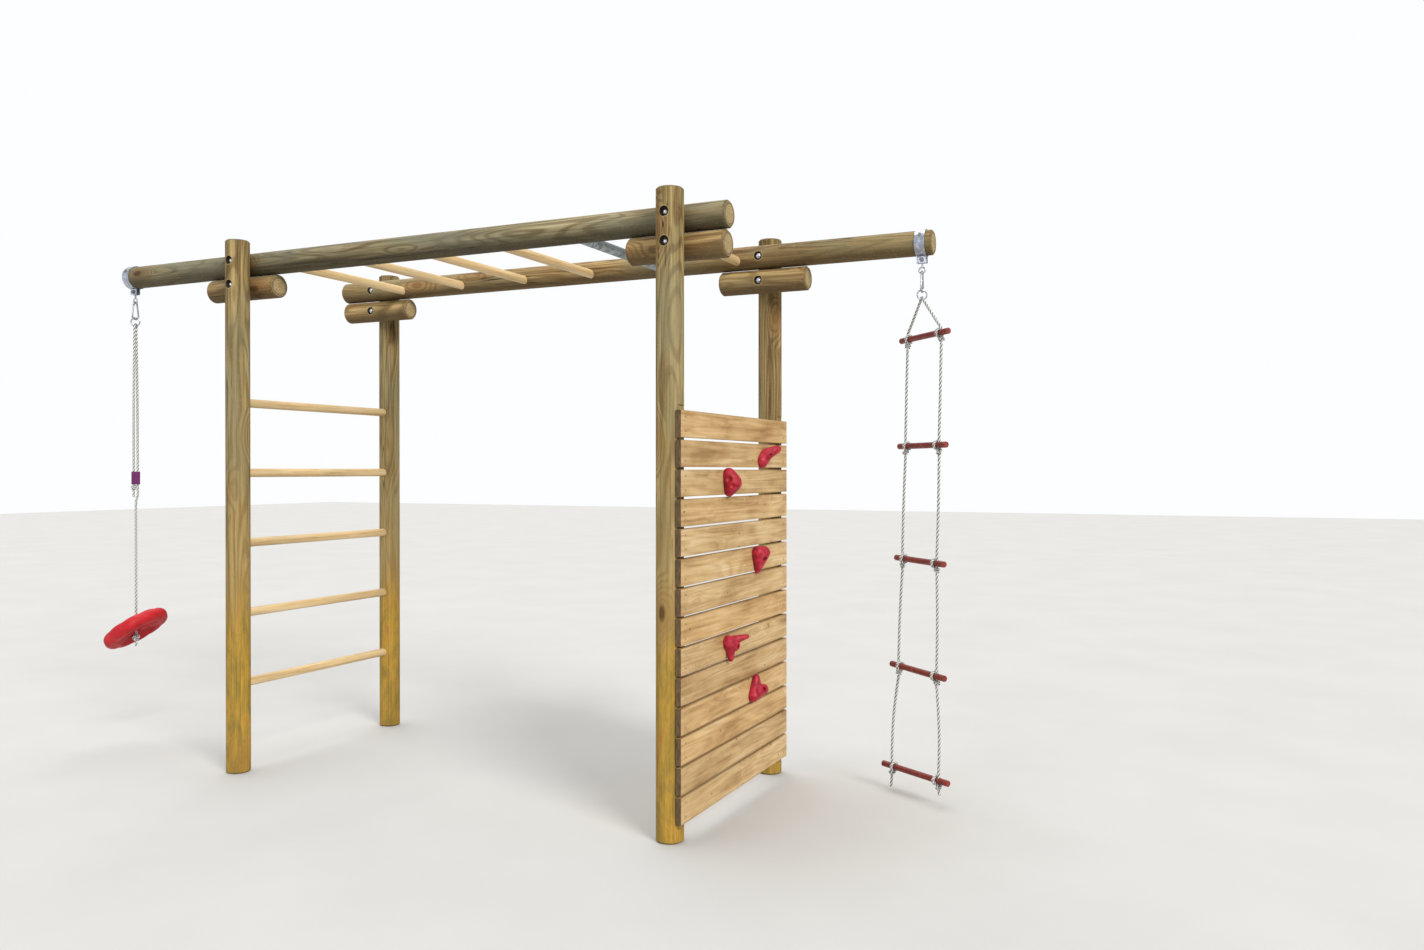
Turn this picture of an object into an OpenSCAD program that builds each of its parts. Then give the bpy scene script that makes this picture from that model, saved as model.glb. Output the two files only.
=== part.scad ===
// Timber monkey bars with an end ladder, a climbing wall, a disc swing and a rope ladder.
// Millimetres, +Z up, +X along the beams. The origin is on the ground, under the middle of the whole object.

/* [Frame] */
// Height of the posts above the ground
post_height = 2300; // [2260:10:2400]
// Diameter of the posts, beams and support logs
log_d = 100; // [96:1:108]
// Distance between post centres along the beams
post_span_x = 2100; // [2040:10:2300]
// Distance between post centres across the frame
post_span_y = 954; // [900:2:1100]
// How far the beam axes lie below the post tops
beam_drop = 90; // [80:1:120]
// Depth of the flat cut into each log where a post meets a beam
joint_flat = 5; // [3:1:8]
// Overhang of the front beam past the left posts, which carries the swing
swing_overhang = 790; // [740:10:900]
// Overhang of the back beam past the right posts, which carries the rope ladder
ladder_overhang = 732; // [680:4:900]
// Overhang of both beams at their other ends
short_overhang = 190; // [160:5:240]
// Length of the support logs under the beams
support_length = 390; // [300:10:420]

/* [Rungs] */
// Diameter of the wooden rungs
rung_d = 38; // [32:1:40]
// Distance between the overhead rungs
overhead_pitch = 360; // [340:5:380]
// Outer diameter of the steel overhead rung
steel_rung_d = 42; // [38:1:44]
// Height of the end ladder's lowest rung
end_rung_first = 380; // [300:5:420]
// Distance between the end ladder's rungs
end_rung_pitch = 305; // [280:5:330]

/* [Climbing wall] */
// Width of one plank
plank_w = 95; // [85:1:96]
// Thickness of one plank
plank_t = 20; // [18:1:26]
// Distance from one plank to the next
plank_pitch = 104; // [98:1:106]
// Height of the lowest plank's bottom edge
wall_bottom = 70; // [50:5:100]
// How far the plank ends stop short of the posts' outer sides
plank_inset = 12; // [0:1:15]

/* [Swing] */
// Diameter of the swing's rope
swing_rope_d = 12; // [10:1:12]
// Diameter of the disc seat
seat_d = 296; // [260:2:320]
// Thickness of the seat's rim
seat_t = 60; // [44:1:64]
// Height of the seat's middle
seat_height = 562; // [450:2:700]
// How far the seat leans to one side as it hangs
seat_lean = 35; // [0:1:35]

/* [Rope ladder] */
// Diameter of the rope ladder's rope
ladder_rope_d = 12; // [10:1:12]
// Length of a rope ladder rung
rope_rung_length = 360; // [340:5:420]
// Diameter of a rope ladder rung
rope_rung_d = 24; // [22:1:28]
// Distance between the two ropes
rope_gap = 260; // [240:5:280]

/* [Hidden] */
$fn = 48;
log_r = log_d / 2;
log_chamfer = 6;

// The posts' mid-point lies this far right of the origin, because the swing's beam reaches further out
mid_x = 32;
left_x = mid_x - post_span_x / 2;
right_x = mid_x + post_span_x / 2;
post_y = post_span_y / 2;
beam_gap = log_d - 2 * joint_flat;
beam_y = post_y - beam_gap;
beam_z = post_height - beam_drop;
support_z = beam_z - log_d - 3;
// How far each support log's middle is from its post: front left, front right, back left, back right
support_shift = [-45, -10, 20, 12];
// Half length of the flat that two crossed logs need
flat_reach = sqrt(log_r ^ 2 - (log_r - 2 * joint_flat) ^ 2) + 5;

bolt_r = 6;
bolt_hole_r = 6.5;
recess_r = 18;
recess_depth = 18;
washer_r = 13;
washer_t = 2.5;
bolt_head_r = 12;
bolt_head_t = 8;
nut_t = 8;
hex_12_r = 10.97;
cap_r = 9;
cap_t = 7;
bolt_end = 2;
dome_steps = 8;
// Heights of the two recess floors along a bolt, from the post's axis outwards
seat_out = log_r - recess_depth;
seat_in = -beam_gap - log_r + recess_depth;

rung_r = rung_d / 2;
overhead_first = mid_x - 850;
overhead_z = beam_z - 15;
wood_slots = [0, 1, 2, 3, 5];
steel_slot = 4;
steel_wall = 3;
beam_socket = 35;
post_socket = 40;

plank_n = 14;
wall_flat = 8;
plank_back = right_x + log_r - wall_flat;
wall_face = plank_back + plank_t;
wall_half = post_y + log_r - plank_inset;
wall_top = wall_bottom + (plank_n - 1) * plank_pitch + plank_w;
screw_r = 2.5;
screw_head_r = 4.5;
screw_length = 55;
screw_offset = 25;

// Each climbing hold: the plank it is bolted to, counted from the bottom, and its place across the wall
hold_planks = [12, 11, 8, 5, 3];
hold_ys = [240, -130, 160, -110, 135];
hold_seat = 20;
hold_bolt_r = 5;
tee_r = 6.5;
tee_depth = 15;

// Band clamp round a beam end, with two ears below for a bolt
clamp_w = 40;
clamp_t = 4;
ear_gap = 12;
clamp_bolt_drop = log_r + 16;
clamp_bolt_r = 5;
clamp_bolt_z = beam_z - clamp_bolt_drop;
clamp_screw_r = 3;
clamp_screw_tilt = 30;
swing_x = left_x - swing_overhang + 25;
ladder_x = right_x + ladder_overhang - 46;

// Hanging chain, downwards from the clamp bolt: link, snap hook, ring
eye_r = 12;
eye_wire = 3;
eye_drop = 42;
hook_wire = 4;
hook_top_r = 8;
hook_low_r = 16;
hook_span = 58;
hook_lean = asin((hook_low_r - hook_top_r) / hook_span);
ring_r = 19.5;
ring_wire = 3;
link_gap = 1;
hook_z = clamp_bolt_z - eye_drop - eye_r;
hook_low_z = hook_z - hook_span;
ring_z = hook_low_z - hook_low_r + hook_wire + link_gap - ring_r + ring_wire;
ring_low_z = ring_z - ring_r;
hook_sides = 12;
gate_pin_r = 1.5;
gate_r = 3.6;
gate_length = 41;
gate_gap = 0.5;
// Distances down the hook's front side: the wire's end, the gate's pin and the nose
wire_start = 4.8;
gate_start = 9;
nose_start = gate_start + gate_length + gate_gap;
swing_ring_yaw = 30;
ladder_ring_yaw = 32;

// The swing's rope, from the ring down to the knot under the seat, in the ring's own directions
rope_sides = 10;
adjuster_z = 1240;
adjuster_h = 60;
strand_offset = 9;
return_end_z = adjuster_z - 1;
strand = [[9, 0, 1240], [9, 0, 1310], [8, 2, 1420], [6, 6, 1600], [3, 8, 1800], [0, 9, 1950]];
strand_foot = [[0, 0, 1150], [0, 0, 1154], [1.2, 0, 1162], [4.5, 0, 1174], [7.8, 0, 1186], [9, 0, 1196]];
lower_rope_top = 1149.7;
stopper_r = 12;
stopper_tail = 33;
bight_gap = 0.5;
bight_steps = 6;
seat_knot_r = 17;
seat_knot_drop = 42;
seat_hole_r = 8;
seat_hub_t = 30;
seat_flare = 11.5;
seat_lean_yaw = -74;

// The rope ladder's rungs: height, turn about the vertical and sideways drift, from the top down
rope_rung_z = [1840, 1405, 945, 505, 95];
rope_rung_yaw = [-46, -46, -45, -41, -31];
rope_rung_drift = [8, 0, -10, -18, -28];
rope_bow = [0, 1, 3, 4, 9];
rope_hole_r = 6.5;
knot_r = 13.5;
knot_drop = rope_rung_d / 2 + knot_r + 0.5;
rope_steps = 4;
rope_tails = [58, 30];
// Half of the topmost rope, from the knot under the first rung up to the ring: distance out and height
leg = [[130, 1827], [130, 1850], [124, 1864], [95, 1894], [60, 1931], [26, 1967]];

wood = "#a8935f";
rung_wood = "#c29d5c";
plank_wood = "#d3a868";
zinc = "#9aa3ad";
rope_white = "#dcdcd6";

// ---------- shared shapes ----------

// Turns +Z to point away from the frame's middle, to the front for side -1 and to the back for side 1
module outward(side) {
    rotate([-90 * side, 0, 0]) children();
}

// A round log along +Z with chamfered ends
module log_bar(length) {
    rotate_extrude() polygon([
        [0, 0], [log_r - log_chamfer, 0], [log_r, log_chamfer],
        [log_r, length - log_chamfer], [log_r - log_chamfer, length], [0, length]
    ]);
}

// A rod along Y, centred
module rod_y(r, length) {
    rotate([90, 0, 0]) cylinder(r = r, h = length, center = true);
}

// A rod along X, centred
module rod_x(r, length) {
    rotate([0, 90, 0]) cylinder(r = r, h = length, center = true);
}

// A ring of round wire that lies in the XZ plane
module wire_ring(r, wire) {
    rotate([90, 0, 0]) rotate_extrude() translate([r, 0]) circle(wire);
}

// Hexagonal head or nut along +Z
module hexagon(r, h) {
    cylinder(r = r, h = h, $fn = 6);
}

// ---------- posts, beams and support logs ----------

// Bolt hole with a recess at each end, from the post's axis; +Z points outwards through the post
module bolt_passage() {
    translate([0, 0, -beam_gap - log_r - 1]) cylinder(r = bolt_hole_r, h = beam_gap + log_d + 2);
    translate([0, 0, log_r - recess_depth]) cylinder(r = recess_r, h = recess_depth + 1);
    translate([0, 0, -beam_gap - log_r - 1]) cylinder(r = recess_r, h = recess_depth + 1);
}

module at_bolts(x, side) {
    for (z = [beam_z, support_z]) translate([x, side * post_y, z]) outward(side) children();
}

// Flat on a post's inner side, where the beam and the support log bear on it
module post_joint_flat(side) {
    flat_h = beam_z - support_z + 2 * flat_reach;
    translate([-log_r, side > 0 ? -log_r : log_r - joint_flat, support_z - flat_reach])
        cube([log_d, joint_flat, flat_h]);
}

module post(x, side) {
    color(wood) difference() {
        translate([x, side * post_y, 0]) log_bar(post_height);
        translate([x, side * post_y, 0]) post_joint_flat(side);
        at_bolts(x, side) bolt_passage();
        if (x < mid_x) end_rung_sockets(side);
        if (x > mid_x) wall_flat_cut(side);
        if (x > mid_x) at_plank_screws() screw_shank();
    }
}

// Blind sockets in a left post for the end ladder's rungs
module end_rung_sockets(side) {
    for (i = [0:4])
        translate([left_x, side * (post_y - log_r + post_socket) / 2, end_rung_first + i * end_rung_pitch])
            rod_y(rung_r, post_y - log_r + post_socket);
}

// Flat milled on a right post's outer side for the planks
module wall_flat_cut(side) {
    translate([plank_back, side * post_y - log_r, wall_bottom - 20])
        cube([log_r, log_d, wall_top - wall_bottom + 40]);
}

// Flat on a beam or support log where it bears on a post; the log lies along X at y = side * beam_y
module beam_joint_flat(x, side, z) {
    translate([x - flat_reach, side > 0 ? beam_y + log_r - joint_flat : -beam_y - log_r, z - log_r])
        cube([2 * flat_reach, joint_flat, log_d]);
}

module beam(side, x_start, x_end) {
    color(wood) difference() {
        translate([x_start, side * beam_y, beam_z]) rotate([0, 90, 0]) log_bar(x_end - x_start);
        for (x = [left_x, right_x]) beam_joint_flat(x, side, beam_z);
        for (x = [left_x, right_x]) at_bolts(x, side) bolt_passage();
        for (i = wood_slots) at_overhead(i) rod_y(rung_r, overhead_length());
        at_overhead(steel_slot) rod_y(steel_rung_d / 2, overhead_length());
        at_clamp(side) clamp_screw_shape();
    }
}

module support_log(x, side, shift) {
    color(wood) difference() {
        translate([x + shift - support_length / 2, side * beam_y, support_z])
            rotate([0, 90, 0]) log_bar(support_length);
        beam_joint_flat(x, side, support_z);
        at_bolts(x, side) bolt_passage();
    }
}

// ---------- rungs ----------

function overhead_length() = 2 * (beam_y - log_r + beam_socket);

module at_overhead(slot) {
    translate([overhead_first + slot * overhead_pitch, 0, overhead_z]) children();
}

module overhead_rung(i) {
    color(rung_wood) at_overhead(wood_slots[i]) rod_y(rung_r, overhead_length());
}

// Galvanised tube with two small fixing holes
module steel_overhead_rung() {
    color(zinc) at_overhead(steel_slot) difference() {
        rod_y(steel_rung_d / 2, overhead_length());
        rod_y(steel_rung_d / 2 - steel_wall, overhead_length() + 2);
        for (y = [-170, 170]) translate([0, y, 0]) rod_x(3, steel_rung_d + 2);
    }
}

module end_ladder_rung(i) {
    color(rung_wood) translate([left_x, 0, end_rung_first + i * end_rung_pitch])
        rod_y(rung_r, 2 * (post_y - log_r + post_socket));
}

// ---------- climbing wall ----------

// Every plank screw's place on the wall's face, with +Z out of the wall
module at_plank_screws() {
    for (i = [0:plank_n - 1], side = [-1, 1], dz = [-screw_offset, screw_offset])
        translate([wall_face, side * post_y, plank_z(i) + dz]) rotate([0, 90, 0]) children();
}

function plank_z(i) = wall_bottom + i * plank_pitch + plank_w / 2;

module screw_shank() {
    translate([0, 0, -screw_length]) cylinder(r = screw_r, h = screw_length);
}

module screw_shape() {
    screw_shank();
    head_h = screw_head_r - screw_r;
    translate([0, 0, -head_h]) cylinder(r1 = screw_r, r2 = screw_head_r, h = head_h);
}

module climbing_wall_planks() {
    color(plank_wood) difference() {
        for (i = [0:plank_n - 1]) translate([plank_back, -wall_half, wall_bottom + i * plank_pitch])
            cube([plank_t, 2 * wall_half, plank_w]);
        at_plank_screws() screw_shape();
        for (i = [0:4]) at_hold(i) rod_x(tee_r, 4 * plank_t);
    }
}

module plank_screws() {
    color(zinc) at_plank_screws() screw_shape();
}

// ---------- climbing holds ----------

module at_hold(i) {
    translate([wall_face, hold_ys[i], plank_z(hold_planks[i])]) children();
}

// A rounded lobe between two or three balls, each [x, y, z, r]
module lobe(balls) {
    hull() for (b = balls) translate([b[0], b[1], b[2]]) sphere(b[3], $fn = 28);
}

// Cuts off what lies behind the wall's face, and bores the bolt's seat
module hold_body(i) {
    color("#b5172b") at_hold(i) difference() {
        children();
        translate([-100, -150, -150]) cube([100, 300, 300]);
        rod_x(hold_bolt_r + 0.5, 200);
        translate([hold_seat, 0, 0]) rotate([0, 90, 0]) cylinder(r = 9, h = 100);
    }
}

module hold_horn() {
    lobe([[4, -26, -22, 29], [10, 4, 2, 27]]);
    lobe([[16, 10, 8, 24], [48, 40, 28, 17]]);
}

// An oval with a deep pocket in front and two shallow ones at the side
module hold_oval() {
    difference() {
        lobe([[14, -5, 28, 27], [12, 2, -34, 21], [28, 0, -2, 35]]);
        translate([68, 8, 6]) sphere(15, $fn = 28);
        translate([27, -38, 12]) sphere(14, $fn = 28);
        translate([40, -32, -14]) sphere(10, $fn = 28);
    }
}

module hold_heart() {
    lobe([[20, -16, 26, 28], [8, 2, -44, 15]]);
    lobe([[28, 18, 24, 28], [8, 2, -44, 15]]);
}

module hold_hook() {
    lobe([[10, -22, 16, 28], [20, 4, 4, 26]]);
    lobe([[24, -4, 24, 18], [66, 30, 36, 9]]);
    lobe([[14, -10, 0, 22], [18, -16, -46, 11]]);
}

module hold_wedge() {
    lobe([[14, 2, 46, 14], [12, -26, -24, 24], [12, 24, -22, 22]]);
    lobe([[32, -16, -8, 20], [36, 22, -4, 22]]);
}

module climbing_hold(i) {
    hold_body(i) {
        if (i == 0) hold_horn();
        if (i == 1) hold_oval();
        if (i == 2) hold_heart();
        if (i == 3) hold_hook();
        if (i == 4) hold_wedge();
    }
}

// Cap bolts through the holds
module hold_bolts() {
    shank = hold_seat + plank_t + 4;
    color(zinc) for (i = [0:4]) at_hold(i) rotate([0, 90, 0]) difference() {
        union() {
            translate([0, 0, hold_seat]) cylinder(r = 8, h = 8);
            translate([0, 0, hold_seat - shank]) cylinder(r = hold_bolt_r, h = shank);
        }
        translate([0, 0, hold_seat + 3]) hexagon(4.6, 6);
    }
}

// Tee nuts behind the planks
module hold_tee_nuts() {
    color(zinc) for (i = [0:4]) at_hold(i) translate([-plank_t, 0, 0]) rotate([0, 90, 0]) difference() {
        union() {
            cylinder(r = tee_r, h = tee_depth);
            translate([0, 0, -1.5]) cylinder(r = 12, h = 1.5);
        }
        translate([0, 0, -2]) cylinder(r = hold_bolt_r, h = tee_depth + 4);
    }
}

// ---------- frame fasteners ----------

module at_frame_bolts() {
    for (x = [left_x, right_x], side = [-1, 1]) at_bolts(x, side) children();
}

// A dome of radius r and height h along +Z
module dome(r, h) {
    ball_r = (r * r + h * h) / (2 * h);
    half_angle = asin(r / ball_r);
    arc = [for (k = [0:dome_steps]) let (a = half_angle * (1 - k / dome_steps))
        [ball_r * sin(a), h - ball_r + ball_r * cos(a)]];
    rotate_extrude() polygon(concat([[0, 0]], arc));
}

module frame_bolts() {
    shank = seat_out - seat_in + washer_t + nut_t + bolt_end;
    color(zinc) at_frame_bolts() {
        translate([0, 0, seat_out]) dome(bolt_head_r, bolt_head_t);
        translate([0, 0, seat_out - shank]) cylinder(r = bolt_r, h = shank);
    }
}

module washer() {
    difference() {
        cylinder(r = washer_r, h = washer_t);
        translate([0, 0, -1]) cylinder(r = bolt_hole_r, h = washer_t + 2);
    }
}

module frame_washers() {
    color(zinc) at_frame_bolts() translate([0, 0, seat_in - washer_t]) washer();
}

// Cap nuts, closed over the bolts' ends
module frame_nuts() {
    color(zinc) at_frame_bolts() translate([0, 0, seat_in - washer_t]) mirror([0, 0, 1]) difference() {
        union() {
            hexagon(hex_12_r, nut_t);
            translate([0, 0, nut_t]) dome(cap_r, cap_t);
        }
        translate([0, 0, -1]) cylinder(r = bolt_r, h = nut_t + bolt_end + 1.5);
    }
}

// ---------- clamps ----------

module at_clamp(side) {
    translate([side < 0 ? swing_x : ladder_x, side * beam_y, beam_z]) children();
}

// The clamp screw's place on the band's front, with +Z out of the beam
module at_clamp_screw() {
    rotate([-clamp_screw_tilt, 0, 0]) translate([0, -log_r - clamp_t, 0]) rotate([90, 0, 0]) children();
}

module clamp_screw_shape() {
    shank = clamp_t + 40;
    at_clamp_screw() translate([0, 0, -shank]) cylinder(r = clamp_screw_r, h = shank);
}

module band_profile() {
    difference() {
        union() {
            circle(log_r + clamp_t, $fn = 96);
            translate([-ear_gap / 2 - clamp_t, -clamp_bolt_drop - 14])
                square([ear_gap + 2 * clamp_t, clamp_bolt_drop - log_r + 20]);
        }
        circle(log_r, $fn = 96);
        translate([-ear_gap / 2, -2 * log_d]) square([ear_gap, 2 * log_d]);
    }
}

module beam_clamps() {
    color(zinc) for (side = [-1, 1]) at_clamp(side) difference() {
        translate([-clamp_w / 2, 0, 0]) rotate([90, 0, 90]) linear_extrude(clamp_w) band_profile();
        translate([0, 0, -clamp_bolt_drop]) rod_y(clamp_bolt_r, 60);
        clamp_screw_shape();
    }
}

module clamp_bolts() {
    half = ear_gap / 2 + clamp_t;
    color(zinc) for (side = [-1, 1]) at_clamp(side) translate([0, 0, -clamp_bolt_drop]) {
        translate([0, -half, 0]) rotate([90, 0, 0]) hexagon(9.24, 6.4);
        translate([0, -half, 0]) rotate([-90, 0, 0]) cylinder(r = clamp_bolt_r, h = 2 * half + 11);
    }
}

module clamp_nuts() {
    half = ear_gap / 2 + clamp_t;
    color(zinc) for (side = [-1, 1]) at_clamp(side) translate([0, half, -clamp_bolt_drop]) rotate([-90, 0, 0])
        difference() {
            hexagon(9.24, 8);
            translate([0, 0, -1]) cylinder(r = clamp_bolt_r, h = 10);
        }
}

module clamp_screws() {
    color(zinc) for (side = [-1, 1]) at_clamp(side) {
        clamp_screw_shape();
        at_clamp_screw() cylinder(r1 = 7, r2 = 5, h = 3);
    }
}

// ---------- link, snap hook, gate and ring ----------

module at_chain(side) {
    translate([side < 0 ? swing_x : ladder_x, side * beam_y, 0]) children();
}

// Turns on the clamp bolt; its lower eye carries the hook
module chain_link() {
    color(zinc) translate([0, 0, clamp_bolt_z]) difference() {
        union() {
            rod_y(10, 8);
            translate([-3.5, -3, -30]) cube([7, 6, 22]);
            translate([0, 0, -eye_drop]) wire_ring(eye_r, eye_wire);
        }
        rod_y(clamp_bolt_r + 0.05, 10);
    }
}

// Points of an arc in the YZ plane about [0, 0, z], from angle a to angle b
function hook_arc(z, r, a, b, steps) = [
    for (i = [0:steps]) let (t = a + (b - a) * i / steps) [0, r * cos(t), z + r * sin(t)]
];

// A point on the hook's front side, at distance s down from the top bend
function front_side(s) = [
    0,
    -hook_top_r * cos(hook_lean) - s * sin(hook_lean),
    hook_z + hook_top_r * sin(hook_lean) - s * cos(hook_lean)
];

// The hook's wire: over the top bend, down the back, round the low bend and up to the nose
function hook_route() = concat(
    [front_side(wire_start), front_side(wire_start / 2)],
    hook_arc(hook_z, hook_top_r, 180 - hook_lean, hook_lean, 10),
    hook_arc(hook_low_z, hook_low_r, hook_lean, -180 - hook_lean, 16),
    [front_side(nose_start)]
);

// Turns +Z down along the hook's front side, from the top bend
module along_front_side() {
    translate(front_side(0)) rotate([-hook_lean, 0, 0]) mirror([0, 0, 1]) children();
}

module snap_hook() {
    color(zinc) {
        rope(hook_route(), 2 * hook_wire, [1, 0, 0], hook_sides);
        along_front_side() gate_tongue();
    }
}

// The hook's end that the gate turns on: a tongue with a cross pin
module gate_tongue() {
    translate([-1.6, -3, 1]) cube([3.2, 6, gate_start - 1]);
    translate([0, 0, gate_start]) rod_x(3, 3.2);
    translate([0, 0, gate_start]) rod_x(gate_pin_r, 7.6);
}

module hook_gate() {
    color(zinc) along_front_side() translate([0, 0, gate_start]) difference() {
        union() {
            cylinder(r = gate_r, h = gate_length);
            rod_x(gate_r, 6.4);
        }
        rod_x(3.6, 3.8);
        translate([-1.9, -5, -5]) cube([3.8, 10, 5]);
        rod_x(gate_pin_r + 0.05, 10);
    }
}

module ring(yaw) {
    color(zinc) translate([0, 0, ring_z]) rotate([0, 0, yaw]) wire_ring(ring_r, ring_wire);
}

// ---------- rope ----------

function unit(v) = v / norm(v);

function tangent(path, i) = unit(path[min(i + 1, len(path) - 1)] - path[max(i - 1, 0)]);

// The points round the rope at one place; aside is a direction that the rope never runs along
function rope_ring(path, i, r, aside, sides) =
    let (t = tangent(path, i), u = unit(aside - (aside * t) * t), v = cross(t, u))
    [for (k = [0:sides - 1]) path[i] + r * (cos(360 * k / sides) * u + sin(360 * k / sides) * v)];

function wall_faces(n, sides) = [
    for (i = [0:n - 2], k = [0:sides - 1])
        let (a = i * sides + k, b = i * sides + (k + 1) % sides)
        [a, a + sides, b + sides, b]
];

// A rope or wire of diameter d along a path
module rope(path, d, aside, sides = rope_sides) {
    n = len(path);
    points = [for (i = [0:n - 1]) each rope_ring(path, i, d / 2, aside, sides)];
    first_end = [for (k = [0:sides - 1]) k];
    last_end = [for (k = [sides - 1:-1:0]) (n - 1) * sides + k];
    polyhedron(points, concat([first_end], wall_faces(n, sides), [last_end]));
}

// Half turn of a rope of diameter d over the ring's lowest point, in the plane across the ring
function bight(d) =
    let (r = ring_wire + bight_gap + d / 2)
    [for (i = [0:bight_steps]) let (a = 180 * i / bight_steps) [0, -r * cos(a), ring_low_z + r * sin(a)]];

function backwards(list) = [for (i = [len(list) - 1:-1:0]) list[i]];

function mirrored(list) = [for (p = list) [-p[0], -p[1], p[2]]];

// Up the return strand, over the ring and down the main strand
function swing_route() = concat(
    [[-strand_offset, 0, return_end_z - 1]],
    mirrored([for (i = [1:len(strand) - 1]) strand[i]]),
    bight(swing_rope_d),
    backwards(strand),
    backwards(strand_foot)
);

module swing_rope_upper() {
    color(rope_white) at_chain(-1) rotate([0, 0, swing_ring_yaw]) {
        rope(swing_route(), swing_rope_d, [1, 0, 0]);
        translate([-strand_offset, 0, return_end_z - stopper_r]) sphere(stopper_r);
        translate([-strand_offset, 0, return_end_z - 2 * stopper_r - stopper_tail])
            cylinder(r = swing_rope_d / 2, h = stopper_tail + 2);
    }
}

module swing_rope_adjuster() {
    color("#6b1d5c") at_chain(-1) rotate([0, 0, swing_ring_yaw]) translate([0, 0, adjuster_z])
        difference() {
            linear_extrude(adjuster_h) {
                square([2 * strand_offset, 20], center = true);
                for (s = [-1, 1]) translate([s * strand_offset, 0]) circle(10);
            }
            for (s = [-1, 1]) translate([s * strand_offset, 0, -1])
                cylinder(r = swing_rope_d / 2 + 0.3, h = adjuster_h + 2);
        }
}

module swing_rope_lower() {
    low = seat_height - seat_knot_drop + seat_knot_r;
    route = [[0, 0, lower_rope_top], [0, 0, 980], [0, 0, 780], [0, 0, low]];
    color(rope_white) at_chain(-1) rope(route, swing_rope_d, [1, 0, 0]);
}

module swing_seat_knot() {
    color(rope_white) at_chain(-1) translate([0, 0, seat_height - seat_knot_drop]) {
        sphere(seat_knot_r);
        translate([0, 0, -seat_knot_r - 24]) cylinder(r = swing_rope_d / 2, h = 30);
    }
}

// Half the seat's section: a thick round rim joined to a thinner hub with a flared hole
module seat_profile() {
    rim_r = seat_t / 2;
    rim_x = seat_d / 2 - rim_r;
    hub = seat_hub_t / 2;
    rim = [for (a = [90:-12:-90]) [rim_x + rim_r * cos(a), rim_r * sin(a)]];
    top = [[seat_hole_r, 0], [seat_hole_r + seat_flare, hub], [45, hub + 1]];
    under = [[45, -hub - 1], [seat_hole_r + seat_flare, -hub]];
    polygon(concat(top, rim, under));
}

module swing_disc_seat() {
    color("#d8232a") at_chain(-1) translate([0, 0, seat_height])
        rotate(a = seat_lean, v = [cos(seat_lean_yaw), sin(seat_lean_yaw), 0])
            rotate_extrude() seat_profile();
}

// ---------- rope ladder ----------

module at_rope_rung(i) {
    translate([rope_rung_drift[i], 0, rope_rung_z[i]]) rotate([0, 0, rope_rung_yaw[i]]) children();
}

// Where the rope on the given hand meets rung i, in the ladder's own place
function rope_hole(i, hand) = [
    rope_rung_drift[i] + hand * rope_gap / 2 * cos(rope_rung_yaw[i]),
    hand * rope_gap / 2 * sin(rope_rung_yaw[i]),
    rope_rung_z[i]
];

module rope_ladder_rung(i) {
    color("#8e2418") at_chain(1) at_rope_rung(i) difference() {
        rod_x(rope_rung_d / 2, rope_rung_length);
        for (hand = [-1, 1]) translate([hand * rope_gap / 2, 0, -rope_rung_d])
            cylinder(r = rope_hole_r, h = 2 * rope_rung_d);
    }
}

// A rope's run from the knot under one rung, through the next rung, to the knot below it
function side_route(i, hand) =
    let (top = rope_hole(i - 1, hand) - [0, 0, knot_drop + knot_r + 0.3])
    let (low = rope_hole(i, hand) + [0, 0, rope_rung_d / 2 + 16])
    let (out = unit([low[0], low[1], 0]) * rope_bow[i])
    concat(
        [for (k = [0:rope_steps]) let (f = k / rope_steps) top + f * (low - top) + sin(180 * f) * out],
        [rope_hole(i, hand) - [0, 0, rope_rung_d / 2 + 1.5]]
    );

// Both top legs as one rope: up from the first rung, over the ring and down to the rung's other end
function leg_points(hand) = [for (p = leg) [hand * p[0], 0, p[1]]];

function leg_route() = concat(
    leg_points(-1),
    [for (p = bight(ladder_rope_d)) [p[1], 0, p[2]]],
    backwards(leg_points(1))
);

// The first rung hangs a little to one side of the ring, so each leg leans over to its hole
function leaned(p) =
    let (yaw = rope_rung_yaw[0], f = (ring_low_z - p[2]) / (ring_low_z - rope_rung_z[0]))
    p + rope_rung_drift[0] * max(0, min(f, 1)) * [cos(yaw), -sin(yaw), 0];

module knot(i, hand, tail) {
    translate(rope_hole(i, hand) - [0, 0, knot_drop]) {
        sphere(knot_r);
        if (tail > 0) translate([0, 0, -tail]) cylinder(r = ladder_rope_d / 2, h = tail);
    }
}

module rope_ladder_ropes(i) {
    color(rope_white) at_chain(1) {
        if (i == 0) rotate([0, 0, rope_rung_yaw[0]])
            rope([for (p = leg_route()) leaned(p)], ladder_rope_d, [0, 1, 0]);
        else for (hand = [-1, 1]) rope(side_route(i, hand), ladder_rope_d, [1, 0, 0]);
        knot(i, -1, i == 4 ? rope_tails[0] : 0);
        knot(i, 1, i == 4 ? rope_tails[1] : 0);
    }
}

// ---------- the whole ----------

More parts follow.
